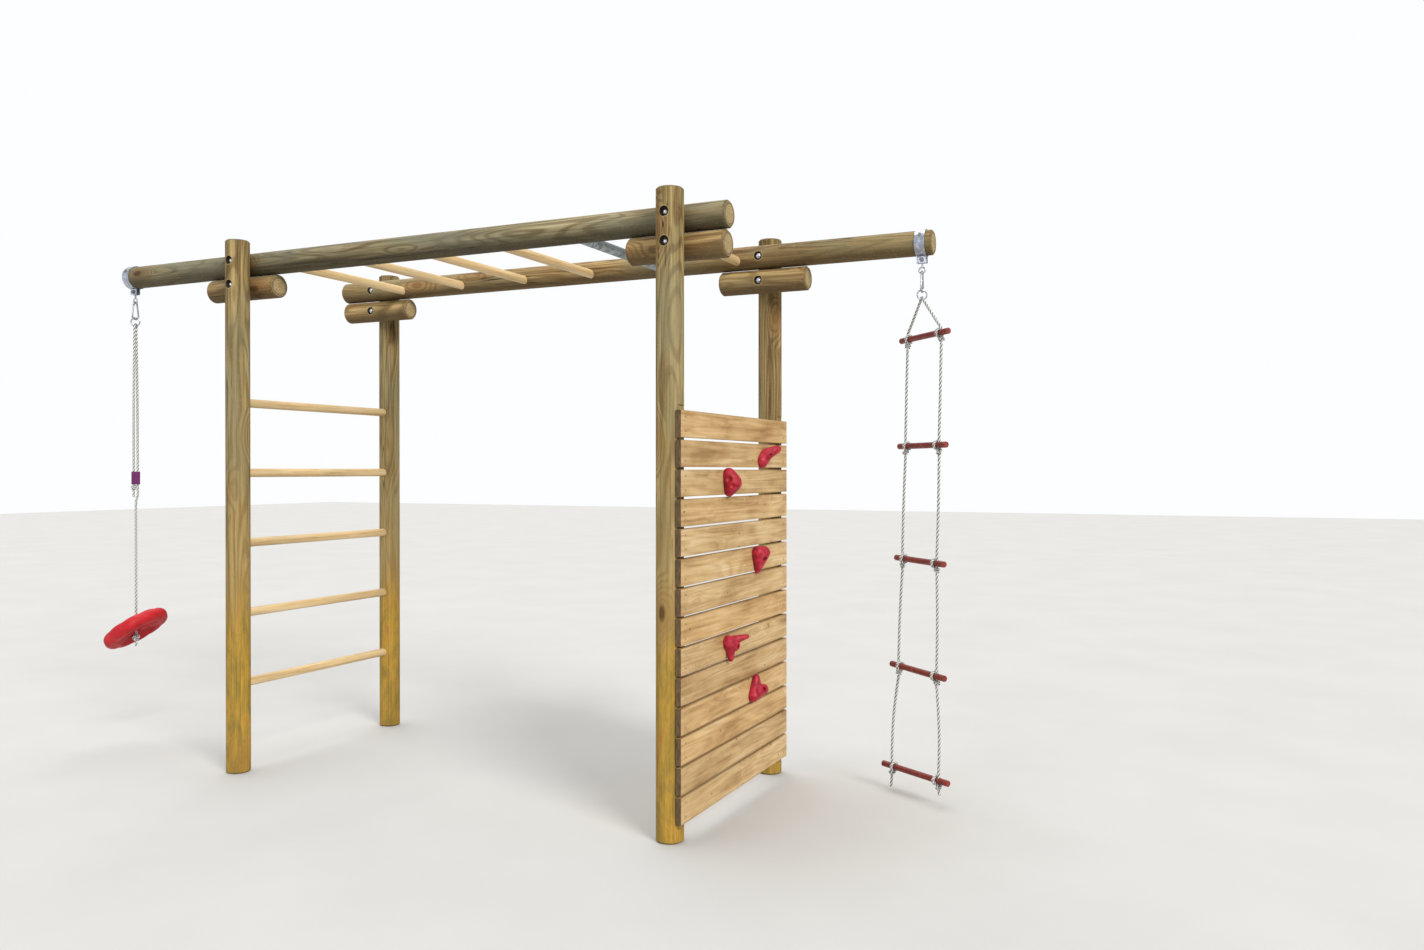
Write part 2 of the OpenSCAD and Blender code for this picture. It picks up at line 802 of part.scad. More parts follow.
post(left_x, -1);  // post_front_left
post(right_x, -1);  // post_front_right
post(left_x, 1);  // post_back_left
post(right_x, 1);  // post_back_right
beam(-1, left_x - swing_overhang, right_x + short_overhang);  // beam_front
beam(1, left_x - short_overhang, right_x + ladder_overhang);  // beam_back
support_log(left_x, -1, support_shift[0]);  // support_log_front_left
support_log(right_x, -1, support_shift[1]);  // support_log_front_right
support_log(left_x, 1, support_shift[2]);  // support_log_back_left
support_log(right_x, 1, support_shift[3]);  // support_log_back_right
for (i = [0:4]) overhead_rung(i);
steel_overhead_rung();
for (i = [0:4]) end_ladder_rung(i);
climbing_wall_planks();
for (i = [0:4]) climbing_hold(i);
frame_bolts();
frame_washers();
frame_nuts();
plank_screws();
hold_bolts();
hold_tee_nuts();
beam_clamps();
clamp_bolts();
clamp_nuts();
clamp_screws();
at_chain(-1) chain_link();  // swing_link
at_chain(-1) snap_hook();  // swing_hook
at_chain(-1) hook_gate();  // swing_hook_gate
at_chain(-1) ring(swing_ring_yaw);  // swing_ring
swing_rope_upper();
swing_rope_adjuster();
swing_rope_lower();
swing_seat_knot();
swing_disc_seat();
at_chain(1) chain_link();  // ladder_link
at_chain(1) snap_hook();  // ladder_hook
at_chain(1) hook_gate();  // ladder_hook_gate
at_chain(1) ring(ladder_ring_yaw);  // ladder_ring
for (i = [0:4]) rope_ladder_rung(i);
for (i = [0:4]) rope_ladder_ropes(i);
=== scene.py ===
"""Looks of the timber monkey bars: ropes, knots, seat, holds and materials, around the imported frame."""

import math

import bpy
import numpy as np
from mathutils import Matrix, Vector


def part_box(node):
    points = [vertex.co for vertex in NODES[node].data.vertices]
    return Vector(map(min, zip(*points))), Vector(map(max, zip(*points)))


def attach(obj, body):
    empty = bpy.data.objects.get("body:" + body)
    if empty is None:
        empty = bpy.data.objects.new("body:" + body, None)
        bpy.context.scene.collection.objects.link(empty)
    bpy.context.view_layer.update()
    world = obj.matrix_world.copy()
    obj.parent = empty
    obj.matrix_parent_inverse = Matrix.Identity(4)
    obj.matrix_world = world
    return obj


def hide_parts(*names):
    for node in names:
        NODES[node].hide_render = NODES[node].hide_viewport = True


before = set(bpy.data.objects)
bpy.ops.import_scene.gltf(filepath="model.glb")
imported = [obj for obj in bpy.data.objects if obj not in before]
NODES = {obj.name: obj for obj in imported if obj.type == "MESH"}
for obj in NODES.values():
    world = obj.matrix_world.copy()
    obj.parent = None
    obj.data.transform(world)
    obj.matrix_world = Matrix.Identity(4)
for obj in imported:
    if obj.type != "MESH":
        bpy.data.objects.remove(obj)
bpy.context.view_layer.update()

MM = 0.001
WHITE = (1.0, 1.0, 1.0)


# ---------- camera, floor and light ----------

def make_camera():
    """The photograph's viewpoint, at about a standing adult's chest height, off the front right corner."""
    data = bpy.data.cameras.new("camera")
    data.sensor_width = 36.0
    data.lens = 27.38
    camera = bpy.data.objects.new("camera", data)
    camera.location = (2.8144, -3.8822, 1.3073)
    camera.rotation_euler = (math.radians(89.74), 0.0, math.radians(24.74))
    bpy.context.scene.collection.objects.link(camera)
    bpy.context.scene.camera = camera


def add_sun(name, place, strength, colour, spread):
    """A distant light that shines from place to the frame's middle, spread degrees wide."""
    data = bpy.data.lights.new(name, "SUN")
    data.energy = strength
    data.color = colour
    data.angle = math.radians(spread)
    light = bpy.data.objects.new(name, data)
    light.location = place
    light.rotation_euler = (Vector((0.0, 0.0, 1.3)) - Vector(place)).to_track_quat("-Z", "Y").to_euler()
    bpy.context.scene.collection.objects.link(light)


def make_studio():
    """A wide pale floor under soft light from above and the front right, with less from the front left."""
    bpy.ops.mesh.primitive_plane_add(size=60.0, location=(0, 0, 0))
    floor = bpy.context.object
    floor.name = "floor"
    floor.data.materials.append(floor_material())
    add_sun("key", (6.2, -3.8, 5.4), 2.9, (1.0, 0.97, 0.92), 24)
    add_sun("top", (-1.6, 1.2, 6.6), 2.3, (1.0, 0.99, 0.96), 60)
    add_sun("fill", (-3.6, -6.2, 2.8), 0.9, (0.95, 0.97, 1.0), 45)
    world = bpy.data.worlds.new("studio")
    world.use_nodes = True
    nodes, links = world.node_tree.nodes, world.node_tree.links
    seen = nodes.new("ShaderNodeLightPath")
    strength = nodes.new("ShaderNodeMapRange")
    strength.inputs["To Min"].default_value = 0.34
    strength.inputs["To Max"].default_value = 1.0
    links.new(seen.outputs["Is Camera Ray"], strength.inputs["Value"])
    links.new(strength.outputs["Result"], nodes["Background"].inputs["Strength"])
    nodes["Background"].inputs["Color"].default_value = (0.98, 0.99, 1.0, 1.0)
    bpy.context.scene.world = world
    bpy.context.scene.view_settings.view_transform = "Standard"


# ---------- node helpers ----------

class Shader:
    """A material being built: makes nodes and joins them with short calls."""

    def __init__(self, name, roughness=0.6, metallic=0.0, specular=0.5):
        self.material = bpy.data.materials.new(name)
        self.material.use_nodes = True
        self.tree = self.material.node_tree
        self.surface = self.tree.nodes["Principled BSDF"]
        self.surface.inputs["Roughness"].default_value = roughness
        self.surface.inputs["Metallic"].default_value = metallic
        self.surface.inputs["Specular IOR Level"].default_value = specular
        self.coords = self.tree.nodes.new("ShaderNodeTexCoord").outputs["Object"]

    def node(self, kind, **settings):
        made = self.tree.nodes.new("ShaderNode" + kind)
        for key, value in settings.items():
            setattr(made, key, value)
        return made

    def put(self, socket, value):
        """Joins an output to a socket, or sets the socket's own value."""
        if isinstance(value, bpy.types.NodeSocket):
            self.tree.links.new(value, socket)
        elif isinstance(value, tuple) and len(value) == 3 and socket.type == "RGBA":
            socket.default_value = (*value, 1.0)
        else:
            socket.default_value = value

    def scaled(self, scale, offset=(0, 0, 0)):
        """The object's own coordinates, stretched: a small number draws the pattern out along that axis."""
        mapping = self.node("Mapping")
        self.put(mapping.inputs["Vector"], self.coords)
        mapping.inputs["Scale"].default_value = scale
        mapping.inputs["Location"].default_value = offset
        return mapping.outputs["Vector"]

    def noise(self, vector, scale, detail=3.0, rough=0.55, distortion=0.0):
        made = self.node("TexNoise")
        self.put(made.inputs["Vector"], vector)
        made.inputs["Scale"].default_value = scale
        made.inputs["Detail"].default_value = detail
        made.inputs["Roughness"].default_value = rough
        made.inputs["Distortion"].default_value = distortion
        return made.outputs["Fac"]

    def voronoi(self, vector, scale, output="Distance"):
        made = self.node("TexVoronoi")
        self.put(made.inputs["Vector"], vector)
        made.inputs["Scale"].default_value = scale
        return made.outputs[output]

    def math(self, operation, a, b=0.0):
        made = self.node("Math", operation=operation)
        self.put(made.inputs[0], a)
        self.put(made.inputs[1], b)
        return made.outputs[0]

    def hypotenuse(self, a, b):
        return self.math("SQRT", self.math("ADD", self.math("MULTIPLY", a, a), self.math("MULTIPLY", b, b)))

    def ramp(self, value, stops):
        """A value turned into a colour, by (place, colour) stops."""
        made = self.node("ValToRGB")
        self.put(made.inputs["Fac"], value)
        points = made.color_ramp.elements
        while len(points) < len(stops):
            points.new(0.5)
        for point, (place, colour) in zip(points, stops):
            point.position = place
            point.color = (*colour, 1.0)
        return made.outputs["Color"]

    def span(self, value, low, high, to_low=0.0, to_high=1.0):
        """A value moved from low..high to to_low..to_high, and held there."""
        made = self.node("MapRange", interpolation_type="SMOOTHSTEP")
        self.put(made.inputs["Value"], value)
        made.inputs["From Min"].default_value = low
        made.inputs["From Max"].default_value = high
        made.inputs["To Min"].default_value = to_low
        made.inputs["To Max"].default_value = to_high
        return made.outputs["Result"]

    def mix(self, amount, a, b, blend="MIX"):
        made = self.node("Mix", data_type="RGBA", blend_type=blend)
        self.put(made.inputs["Factor"], amount)
        self.put(made.inputs[6], a)
        self.put(made.inputs[7], b)
        return made.outputs[2]

    def parts(self, vector):
        made = self.node("SeparateXYZ")
        self.put(made.inputs[0], vector)
        return made.outputs

    def bump(self, height, distance, strength):
        made = self.node("Bump")
        self.put(made.inputs["Height"], height)
        made.inputs["Distance"].default_value = distance
        made.inputs["Strength"].default_value = strength
        self.put(self.surface.inputs["Normal"], made.outputs["Normal"])

    def finish(self, colour, roughness=None):
        self.put(self.surface.inputs["Base Color"], colour)
        if roughness is not None:
            self.put(self.surface.inputs["Roughness"], roughness)
        return self.material


def floor_material():
    s = Shader("floor_paint", roughness=0.85)
    tone = s.ramp(s.noise(s.coords, 1.4), [(0.3, (0.52, 0.52, 0.515)), (0.7, (0.55, 0.55, 0.545))])
    return s.finish(tone)


# ---------- wood ----------

def along(axis, across, lengthwise):
    """Mapping scale for grain that runs along one axis, 0, 1 or 2."""
    scale = [across, across, across]
    scale[axis] = lengthwise
    return tuple(scale)


BOLT_HEAD_R = 0.012
RECESS_R = 0.018


def from_bolts(s):
    """Distance from the nearest of the frame's bolt axes, which stand in a grid across X and Z."""
    low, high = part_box("frame_bolts")
    middle, half = (low + high) / 2, (high - low) / 2
    xyz = s.parts(s.coords)
    legs = []
    for k in (0, 2):
        off = s.math("ABSOLUTE", s.math("SUBTRACT", xyz[k], middle[k]))
        legs.append(s.math("SUBTRACT", off, half[k] - BOLT_HEAD_R))
    return s.hypotenuse(legs[0], legs[1])


def knots_in(s, cells, low, high, channel="X"):
    """Distance from the nearest cell's middle, and a mask of the cells that hold a knot."""
    distance = s.voronoi(cells, 1.0)
    chance = s.parts(s.voronoi(cells, 1.0, output="Color"))[channel]
    return distance, s.span(chance, low, high)


def sawn_end(s, axis, middle, seed, shift):
    """Growth rings, drying shakes and a darker outer band, about the log's own axis."""
    xyz = s.parts(s.coords)
    legs = [s.math("SUBTRACT", xyz[k], middle[k]) for k in range(3) if k != axis]
    radius = s.hypotenuse(legs[0], legs[1])
    wobble = s.math("MULTIPLY", s.noise(s.scaled((30, 30, 30), shift), 1.0), 0.010)
    rings = s.math("SINE", s.math("MULTIPLY", s.math("ADD", radius, wobble), 950.0))
    ring_stops = [(0.0, (0.22, 0.14, 0.058)), (0.5, (0.43, 0.325, 0.160)), (1.0, (0.53, 0.42, 0.22))]
    tone = s.ramp(s.span(rings, -1.0, 1.0), ring_stops)
    tone = s.mix(s.span(radius, 0.031, 0.036, 0.0, 0.75), tone, (0.155, 0.120, 0.060))
    tone = s.mix(s.span(radius, 0.0415, 0.0435, 0.0, 0.8), tone, (0.42, 0.34, 0.18))
    tone = s.mix(s.span(radius, 0.0, 0.006, 0.9, 0.0), tone, (0.08, 0.045, 0.02))
    spoke = s.node("TexNoise", noise_dimensions="1D")
    angle = s.math("ARCTAN2", legs[0], legs[1])
    s.put(spoke.inputs["W"], s.math("ADD", s.math("MULTIPLY", angle, 2.6), seed * 3.1))
    shake = s.span(s.math("ABSOLUTE", s.math("SUBTRACT", spoke.outputs["Fac"], 0.5)), 0.004, 0.02, 0.9, 0.0)
    return s.mix(s.math("MULTIPLY", shake, s.span(radius, 0.003, 0.010)), tone, (0.03, 0.018, 0.01))


def ochre_foot(s, shift, colour, fine, pull, rust):
    """A post's lower end: golden from chest height down, then mottled ochre to the ground."""
    wobble = s.math("MULTIPLY", s.noise(s.scaled((11, 11, 1.6), shift), 1.0), 0.50)
    height = s.math("ADD", s.parts(s.coords)["Z"], wobble)
    mottle = s.noise(s.scaled((19, 19, 6.5), shift), 1.0, 5, 0.66, 0.5)
    ochre = s.ramp(mottle, [
        (0.33, (0.210, 0.150, 0.026)), (0.47, (0.330, 0.205, 0.026)),
        (0.58, (0.450, 0.265, 0.034)), (0.70, (0.400, 0.170, 0.028)),
    ])
    ochre = s.mix(0.6, ochre, s.ramp(fine, [(0.32, (0.45, 0.42, 0.36)), (0.56, WHITE)]), "MULTIPLY")
    ochre = s.mix(s.math("MULTIPLY", pull, 0.45), ochre, rust)
    colour = s.mix(s.span(height, 1.05, 2.10, 0.42, 0.0), colour, (0.36, 0.235, 0.075))
    return s.mix(s.span(height, 0.82, 1.16, 0.90, 0.0), colour, ochre)


def drying_cracks(s, axis, shift):
    """Thin cracks along the grain, in some places only."""
    noise = s.noise(s.scaled(along(axis, 34, 0.9), shift), 1.0, 2, 0.5, 0.25)
    crack = s.span(s.math("ABSOLUTE", s.math("SUBTRACT", noise, 0.5)), 0.003, 0.010, 1.0, 0.0)
    where = s.span(s.noise(s.scaled(along(axis, 5, 1.3), shift), 1.0), 0.50, 0.60)
    return s.math("MULTIPLY", crack, where)


def log_material(name, axis, middle, seed, tones, weather, foot=False):
    """Treated round timber: grain that bends round knots, drying cracks, weathering, an ochre foot."""
    pale, body, deep, rust, grey = tones
    s = Shader(name, roughness=0.75, specular=0.25)
    shift = (seed * 1.7, seed * 2.3, seed * 0.9)
    fine = s.noise(s.scaled(along(axis, 150, 3.0), shift), 1.0, 6, 0.68)
    streak = s.noise(s.scaled(along(axis, 24, 0.9), shift), 1.0, 4, 0.62, 0.7)
    patch = s.noise(s.scaled(along(axis, 7.0, 2.1), shift), 1.0, 4, 0.6)
    speck = s.noise(s.scaled(along(axis, 330, 70), shift), 1.0, 3, 0.7)

    cells = s.scaled(along(axis, 7.0, 3.1), shift)
    knots, chosen = knots_in(s, cells, 0.42, 0.46)
    pull = s.math("MULTIPLY", s.span(knots, 0.02, 0.52, 1.0, 0.0), chosen)
    field = s.noise(s.scaled(along(axis, 8.5, 0.85), shift), 1.0, 1.5, 0.5, 0.3)
    field = s.math("ADD", field, s.math("MULTIPLY", pull, 0.30))
    rings = s.span(s.math("SINE", s.math("MULTIPLY", field, 105.0)), -1.0, 1.0)

    colour = s.ramp(streak, [(0.32, deep), (0.48, body), (0.68, pale)])
    ring_stops = [(0.0, (0.52, 0.41, 0.28)), (0.42, (1.0, 0.98, 0.94)), (1.0, (1.14, 1.11, 1.06))]
    colour = s.mix(0.75, colour, s.ramp(rings, ring_stops), "MULTIPLY")
    fine_stops = [(0.34, (0.42, 0.37, 0.30)), (0.54, WHITE), (0.78, (1.25, 1.20, 1.12))]
    colour = s.mix(0.85, colour, s.ramp(fine, fine_stops), "MULTIPLY")
    green = s.math("MULTIPLY", s.span(patch, 0.40, 0.62), weather)
    colour = s.mix(green, colour, grey)
    colour = s.mix(s.math("MULTIPLY", pull, 0.75), colour, rust)

    if foot:
        colour = ochre_foot(s, shift, colour, fine, pull, rust)
    else:
        # Painted shade: each beam and support log darkens below its axis, as under light from above.
        painted_underside_shade = s.span(s.math("SUBTRACT", s.parts(s.coords)["Z"], middle.z), -0.040, 0.012, 0.80, 0.0)
        colour = s.mix(painted_underside_shade, colour, tuple(0.55 * c for c in deep))

    colour = s.mix(s.span(speck, 0.58, 0.72, 0.0, 0.45), colour, deep)
    colour = s.mix(s.span(speck, 0.28, 0.42, 0.40, 0.0), colour, pale)
    heart = s.math("MULTIPLY", s.span(knots, 0.055, 0.130, 1.0, 0.0), chosen)
    colour = s.mix(s.math("MULTIPLY", heart, 0.85), colour, tuple(0.30 * c for c in rust))

    crack = drying_cracks(s, axis, shift)
    colour = s.mix(s.math("MULTIPLY", crack, 0.85), colour, (0.022, 0.015, 0.008))

    facing = s.parts(s.tree.nodes["Texture Coordinate"].outputs["Normal"])[axis]
    facing = s.math("ABSOLUTE", facing)
    colour = s.mix(s.math("MULTIPLY", s.span(facing, 0.45, 0.62), 0.6), colour, tuple(0.8 * c for c in deep))
    colour = s.mix(s.span(facing, 0.90, 0.97), colour, sawn_end(s, axis, middle, seed, shift))
    bolt = from_bolts(s)
    # Painted highlight: a pale ring round each bolt recess, standing in for a lit chamfer at its mouth.
    rim = s.span(bolt, RECESS_R + 0.0008, RECESS_R + 0.0042, 0.7, 0.0)
    colour = s.mix(rim, colour, pale)
    # Painted shade: the inside of each bolt recess is darkened nearly to black.
    painted_recess_shade = s.span(bolt, RECESS_R + 0.0002, RECESS_R + 0.0010, 0.93, 0.0)
    colour = s.mix(painted_recess_shade, colour, (0.020, 0.014, 0.010))

    height = s.math("ADD", s.math("MULTIPLY", fine, 0.6), s.math("MULTIPLY", rings, 0.25))
    height = s.math("SUBTRACT", height, s.math("MULTIPLY", crack, 1.6))
    height = s.math("SUBTRACT", height, s.math("MULTIPLY", heart, 0.3))
    s.bump(height, 0.0018, 0.7)
    return s.finish(colour, s.span(fine, 0.2, 0.8, 0.85, 0.62))


# Pale, body, deep, rust and weathered tones
STRAW = (
    (0.43, 0.335, 0.165), (0.285, 0.210, 0.088), (0.145, 0.098, 0.038),
    (0.230, 0.115, 0.030), (0.215, 0.205, 0.115),
)
OLIVE = (
    (0.35, 0.305, 0.180), (0.205, 0.172, 0.092), (0.092, 0.074, 0.036),
    (0.165, 0.090, 0.032), (0.155, 0.158, 0.110),
)
BROWN = (
    (0.50, 0.365, 0.170), (0.320, 0.215, 0.090), (0.160, 0.098, 0.036),
    (0.250, 0.115, 0.032), (0.235, 0.205, 0.105),
)


def rung_material():
    """Turned wooden rungs, pale straw coloured and smooth."""
    s = Shader("rung_wood", roughness=0.5, specular=0.4)
    streak = s.noise(s.scaled((60, 1.6, 60)), 1.0, 5, 0.6)
    blotch = s.noise(s.scaled((6, 2.2, 6)), 1.0, 3, 0.5)
    streak_stops = [(0.3, (0.42, 0.275, 0.115)), (0.5, (0.62, 0.445, 0.225)), (0.75, (0.76, 0.60, 0.365))]
    colour = s.ramp(streak, streak_stops)
    colour = s.mix(s.span(blotch, 0.45, 0.7, 0.0, 0.5), colour, (0.44, 0.335, 0.175))
    pores = s.noise(s.scaled((260, 9, 260)), 1.0, 2)
    colour = s.mix(s.span(pores, 0.60, 0.68, 0.0, 0.45), colour, (0.22, 0.12, 0.045))
    s.bump(s.math("ADD", streak, s.math("MULTIPLY", pores, 0.4)), 0.0008, 0.4)
    return s.finish(colour, s.span(streak, 0.2, 0.8, 0.62, 0.42))


def plank_material(low, pitch):
    """Planed softwood boards, each with its own tone, cathedral grain along Y, knots, and sawn ends painted
    dark: end grain and painted shade.
    """
    s = Shader("plank_wood", roughness=0.6, specular=0.35)
    board = s.math("FLOOR", s.math("DIVIDE", s.math("SUBTRACT", s.parts(s.coords)["Z"], low), pitch))
    own = s.node("TexWhiteNoise", noise_dimensions="1D")
    s.put(own.inputs["W"], board)
    lot = own.outputs["Value"]
    moved = s.node("CombineXYZ")
    s.put(moved.inputs["X"], s.math("MULTIPLY", lot, 7.0))
    s.put(moved.inputs["Y"], s.math("MULTIPLY", lot, 13.0))
    s.put(moved.inputs["Z"], s.math("MULTIPLY", lot, 3.0))
    shifted = s.node("VectorMath", operation="ADD")
    s.put(shifted.inputs[0], s.coords)
    s.put(shifted.inputs[1], moved.outputs[0])
    place = shifted.outputs[0]

    def stretched(scale):
        mapping = s.node("Mapping")
        s.put(mapping.inputs["Vector"], place)
        mapping.inputs["Scale"].default_value = scale
        return mapping.outputs["Vector"]

    fine = s.noise(stretched((150, 3.2, 150)), 1.0, 6, 0.66)
    streak = s.noise(stretched((30, 1.5, 42)), 1.0, 4, 0.6, 0.8)
    blotch = s.noise(stretched((6, 3.2, 9)), 1.0, 4, 0.6)
    cells = stretched((4, 5.2, 10.5))
    knots, chosen = knots_in(s, cells, 0.50, 0.54)
    pull = s.math("MULTIPLY", s.span(knots, 0.02, 0.42, 1.0, 0.0), chosen)
    field = s.math("ADD", s.noise(stretched((6, 0.8, 9)), 1.0, 1.5, 0.5, 0.3), s.math("MULTIPLY", pull, 0.22))
    rings = s.span(s.math("SINE", s.math("MULTIPLY", field, 80.0)), -1.0, 1.0)
    value = s.math("ADD", s.math("MULTIPLY", streak, 0.45), s.math("MULTIPLY", blotch, 0.55))
    colour = s.ramp(value, [
        (0.36, (0.345, 0.205, 0.082)), (0.47, (0.500, 0.345, 0.165)),
        (0.56, (0.600, 0.430, 0.225)), (0.66, (0.640, 0.510, 0.320)),
    ])
    ring_tone = s.ramp(rings, [(0.0, (0.72, 0.60, 0.44)), (0.5, WHITE), (1.0, (1.06, 1.05, 1.02))])
    colour = s.mix(0.38, colour, ring_tone, "MULTIPLY")
    colour = s.mix(0.45, colour, s.ramp(fine, [(0.32, (0.66, 0.57, 0.44)), (0.58, WHITE)]), "MULTIPLY")
    tone = s.ramp(lot, [(0.0, (0.92, 0.88, 0.83)), (0.5, WHITE), (1.0, (1.07, 0.99, 0.87))])
    colour = s.mix(0.9, colour, tone, "MULTIPLY")
    colour = s.mix(s.math("MULTIPLY", pull, 0.35), colour, (0.33, 0.170, 0.055))
    heart = s.math("MULTIPLY", s.span(knots, 0.045, 0.075, 1.0, 0.0), chosen)
    colour = s.mix(s.math("MULTIPLY", heart, 0.7), colour, (0.15, 0.070, 0.026))
    pins, few = knots_in(s, stretched((10, 12, 26)), 0.70, 0.72, "Y")
    pin = s.math("MULTIPLY", s.span(pins, 0.06, 0.13, 1.0, 0.0), few)
    colour = s.mix(s.math("MULTIPLY", pin, 0.75), colour, (0.12, 0.055, 0.020))
    xyz = s.parts(s.coords)
    up = s.math("FRACT", s.math("DIVIDE", s.math("SUBTRACT", xyz["Z"], low), pitch))
    # This edge mask is painted shade, not wear: each board darkens along its top and bottom edges beside the
    # gaps.
    worn = s.span(s.math("ABSOLUTE", s.math("SUBTRACT", up, 0.5)), 0.40, 0.455, 0.0, 0.35)
    colour = s.mix(worn, colour, (0.20, 0.115, 0.045))
    normal = s.parts(s.tree.nodes["Texture Coordinate"].outputs["Normal"])["Y"]
    on_end = s.span(s.math("ABSOLUTE", normal), 0.85, 0.95)
    # The ends' dark colour is partly end grain and partly painted shade.
    sawn = s.noise(s.scaled((160, 20, 40)), 1.0, 4)
    sawn = s.ramp(sawn, [(0.3, (0.045, 0.026, 0.011)), (0.7, (0.15, 0.090, 0.040))])
    colour = s.mix(on_end, colour, sawn)
    s.bump(s.math("SUBTRACT", s.math("ADD", fine, s.math("MULTIPLY", rings, 0.25)), heart), 0.001, 0.5)
    return s.finish(colour, s.span(fine, 0.2, 0.8, 0.74, 0.52))


def painted_rung_material():
    """Turned wood under worn red-brown paint."""
    s = Shader("painted_rung", roughness=0.45)
    wear = s.noise(s.scaled((40, 40, 40)), 1.0, 5, 0.65)
    streak = s.noise(s.scaled((70, 70, 8)), 1.0, 4)
    colour = s.ramp(streak, [(0.3, (0.115, 0.010, 0.007)), (0.7, (0.25, 0.024, 0.014))])
    colour = s.mix(s.span(wear, 0.60, 0.70, 0.0, 0.75), colour, (0.40, 0.135, 0.045))
    s.bump(s.math("ADD", streak, wear), 0.0006, 0.4)
    return s.finish(colour, s.span(wear, 0.3, 0.7, 0.36, 0.6))


# ---------- metal, rope and plastic ----------

def zinc_material(name, dark, light, roughness, spangle, worn=0.35):
    """Galvanised or zinc-plated steel: crystal spangle, dull patches and light scratches."""
    s = Shader(name, roughness=roughness, metallic=0.9)
    crystals = s.parts(s.voronoi(s.coords, spangle, output="Color"))["X"]
    cloud = s.noise(s.coords, 24.0, 4, 0.6)
    value = s.math("ADD", s.math("MULTIPLY", crystals, 0.45), s.math("MULTIPLY", cloud, 0.55))
    colour = s.ramp(value, [(0.25, dark), (0.75, light)])
    scratch = s.noise(s.scaled((420, 420, 30)), 1.0, 2)
    colour = s.mix(s.span(cloud, 0.56, 0.72, 0.0, worn), colour, (0.34, 0.33, 0.32))
    s.bump(s.math("ADD", crystals, scratch), 0.0003, 0.25)
    return s.finish(colour, s.span(value, 0.2, 0.8, roughness + 0.14, roughness - 0.06))


def rope_material(name, crest, painted_groove_shade):
    """Three-strand rope: pale crests, painted shade in the grooves between the strands, fine fibres."""
    s = Shader(name, roughness=0.8, specular=0.25)
    s.surface.inputs["Sheen Weight"].default_value = 0.25
    s.surface.inputs["Sheen Roughness"].default_value = 0.5
    groove = s.node("Attribute", attribute_name="crest").outputs["Fac"]
    fibre = s.noise(s.coords, 900.0, 3, 0.6)
    soil = s.noise(s.coords, 14.0, 3, 0.6)
    # Painted shade: the lower half of each strand's profile takes the near-black groove colour.
    colour = s.ramp(groove, [(0.0, painted_groove_shade), (0.50, painted_groove_shade), (0.78, crest), (1.0, crest)])
    colour = s.mix(s.span(soil, 0.52, 0.72, 0.0, 0.4), colour, (0.47, 0.46, 0.41))
    colour = s.mix(0.35, colour, s.ramp(fibre, [(0.3, (0.68, 0.68, 0.66)), (0.65, WHITE)]), "MULTIPLY")
    s.bump(fibre, 0.0005, 0.5)
    return s.finish(colour)


def plastic_material(name, dark, light, roughness, grain, mottle=18.0):
    """Moulded plastic or cast resin: mottled colour, pale dust and a fine texture of the given grain."""
    s = Shader(name, roughness=roughness, specular=0.3)
    cloud = s.noise(s.coords, mottle, 4, 0.6)
    height, scale = grain
    texture = s.noise(s.coords, scale, 3, 0.6)
    colour = s.ramp(cloud, [(0.3, dark), (0.7, light)])
    dust = s.span(s.noise(s.coords, 60.0, 4, 0.7), 0.60, 0.74, 0.0, 0.22)
    colour = s.mix(dust, colour, tuple(min(1.0, c * 1.2 + 0.04) for c in light))
    s.bump(texture, height, 0.5)
    return s.finish(colour, s.span(cloud, 0.3, 0.7, roughness + 0.10, roughness - 0.04))


# ---------- rope geometry ----------

def resample(points, step, closed=False):
    """A smooth curve through the points, as evenly spaced points about step apart."""
    p = np.array(points, float)
    n = len(p)
    if closed:
        p = np.vstack([p[-1:], p, p[:2]])
        spans = n
    else:
        p = np.vstack([2 * p[0] - p[1], p, 2 * p[-1] - p[-2]])
        spans = n - 1
    curve = []
    for i in range(spans):
        a, b, c, d = p[i:i + 4]
        ta, tb, tc = (math.sqrt(np.linalg.norm(v)) + 1e-9 for v in (b - a, c - b, d - c))
        m1 = tb * ((b - a) / ta - (c - a) / (ta + tb) + (c - b) / tb)
        m2 = tb * ((c - b) / tb - (d - b) / (tb + tc) + (d - c) / tc)
        for t in np.linspace(0, 1, 24, endpoint=False):
            h = (2 * t**3 - 3 * t**2 + 1, t**3 - 2 * t**2 + t, -2 * t**3 + 3 * t**2, t**3 - t**2)
            curve.append(h[0] * b + h[1] * m1 + h[2] * c + h[3] * m2)
    curve.append(p[-2] if not closed else curve[0])
    curve = np.array(curve)
    gaps = np.linalg.norm(np.diff(curve, axis=0), axis=1)
    run = np.concatenate([[0], np.cumsum(gaps)])
    count = max(2, int(round(run[-1] / step)))
    at = np.linspace(0, run[-1], count + 1)
    return np.stack([np.interp(at, run, curve[:, k]) for k in range(3)], axis=1)


STRAND_SIDES = 18
LAY = 4.4  # length of one whole turn of the strands, in rope diameters
RINGS_PER_LAY = 17
GROOVE_DEPTH = 0.30  # of the rope's radius


def rope_step(d):
    return LAY * d / RINGS_PER_LAY


